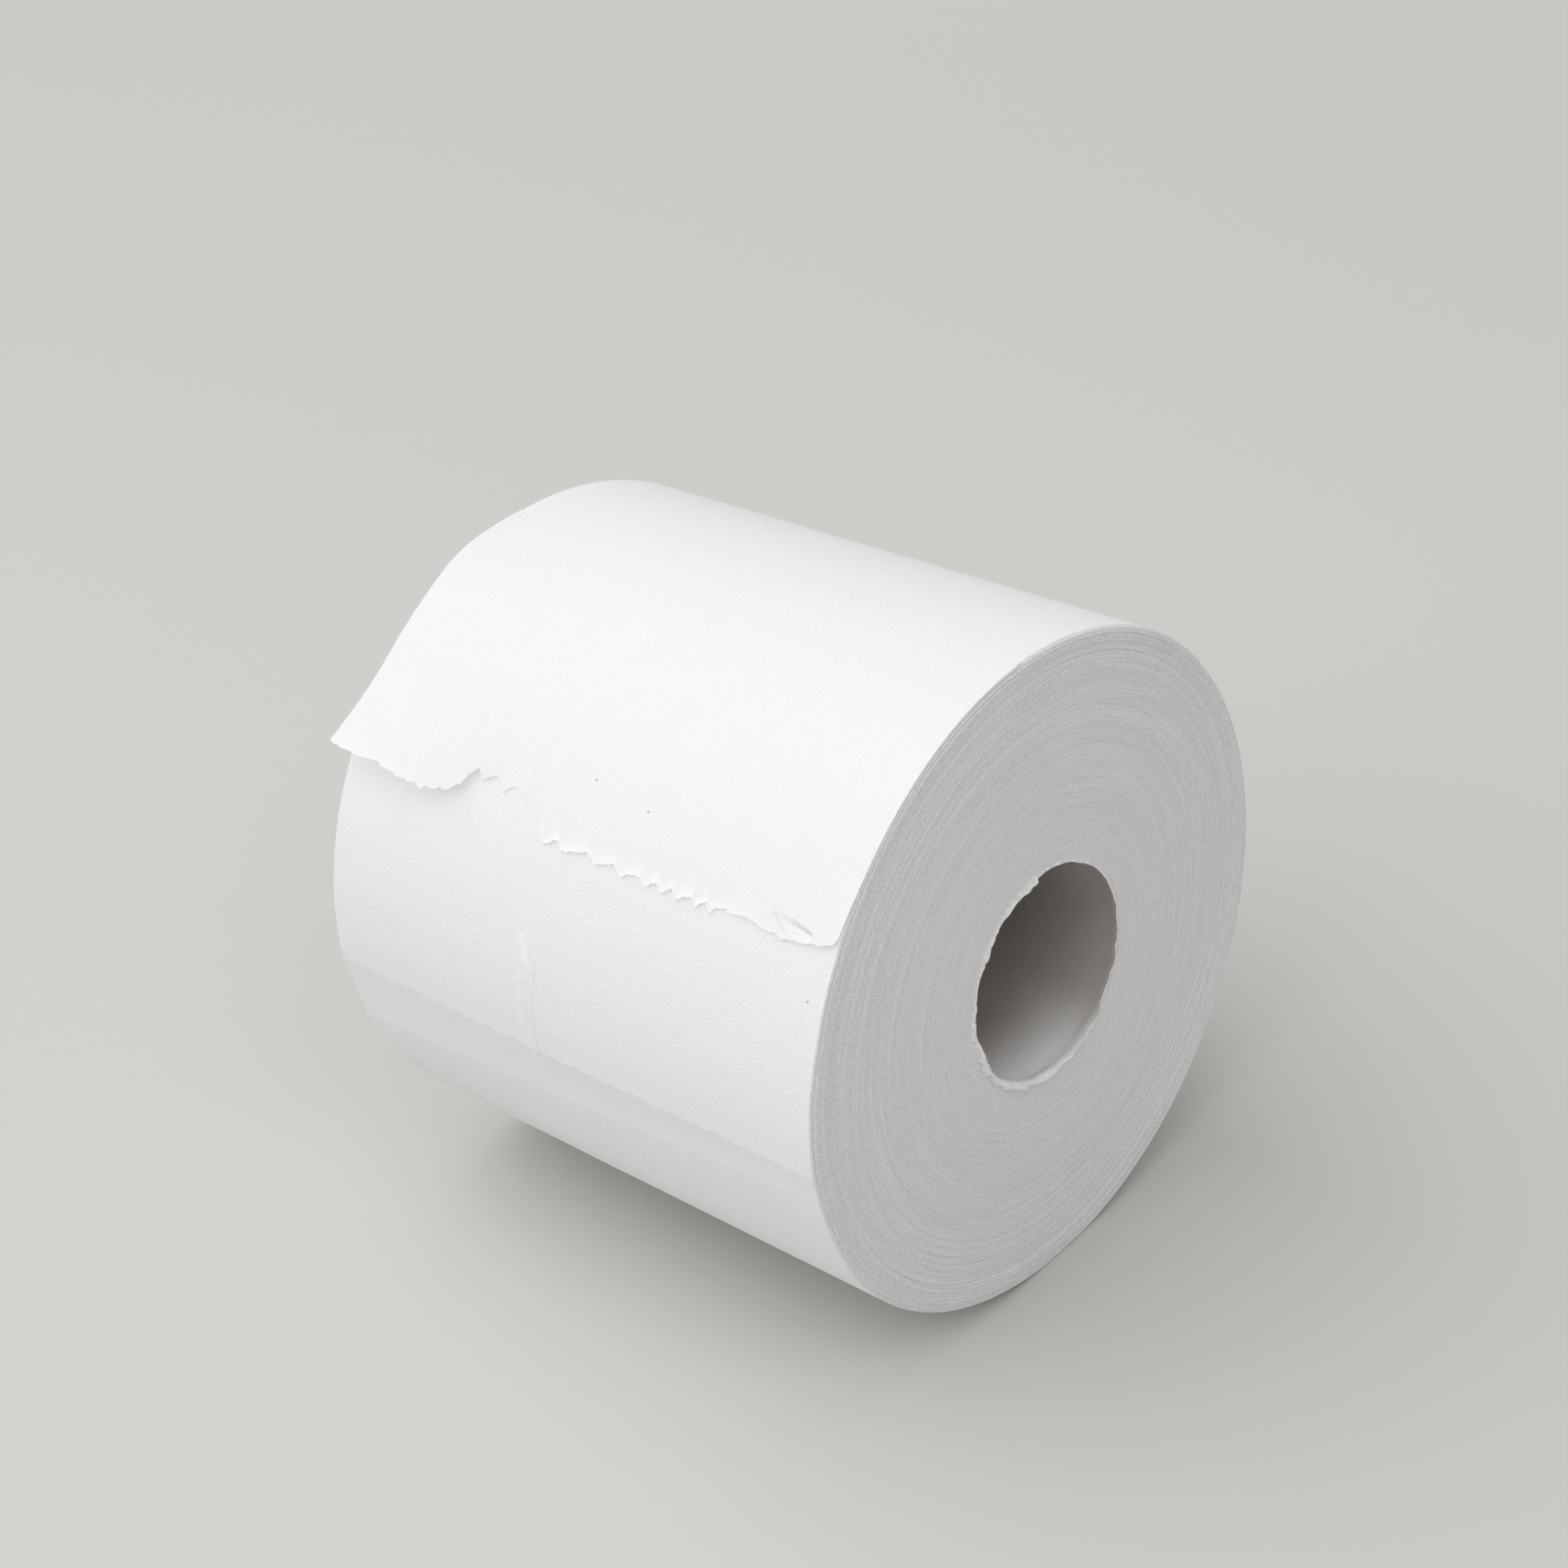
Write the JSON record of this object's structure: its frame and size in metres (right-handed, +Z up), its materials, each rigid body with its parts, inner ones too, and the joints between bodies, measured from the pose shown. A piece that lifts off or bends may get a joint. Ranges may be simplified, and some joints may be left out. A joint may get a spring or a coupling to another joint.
{
  "type": "toilet paper roll",
  "caption": "Soft white toilet roll wound without an inner tube, lying on a small flat spot, with an open bore and a torn loose end lifted at one corner.",
  "frame": {"origin": "centre of the flat spot that the roll rests on", "axes": "+X along the winding axis, -Y the front that the loose end hangs over, +Z up"},
  "size_m": [0.11, 0.1183, 0.1183],
  "materials": {
    "paper": "matte creped tissue"
  },
  "bodies": {
    "root": {"paper_roll": "paper"}
  },
  "joints": []
}
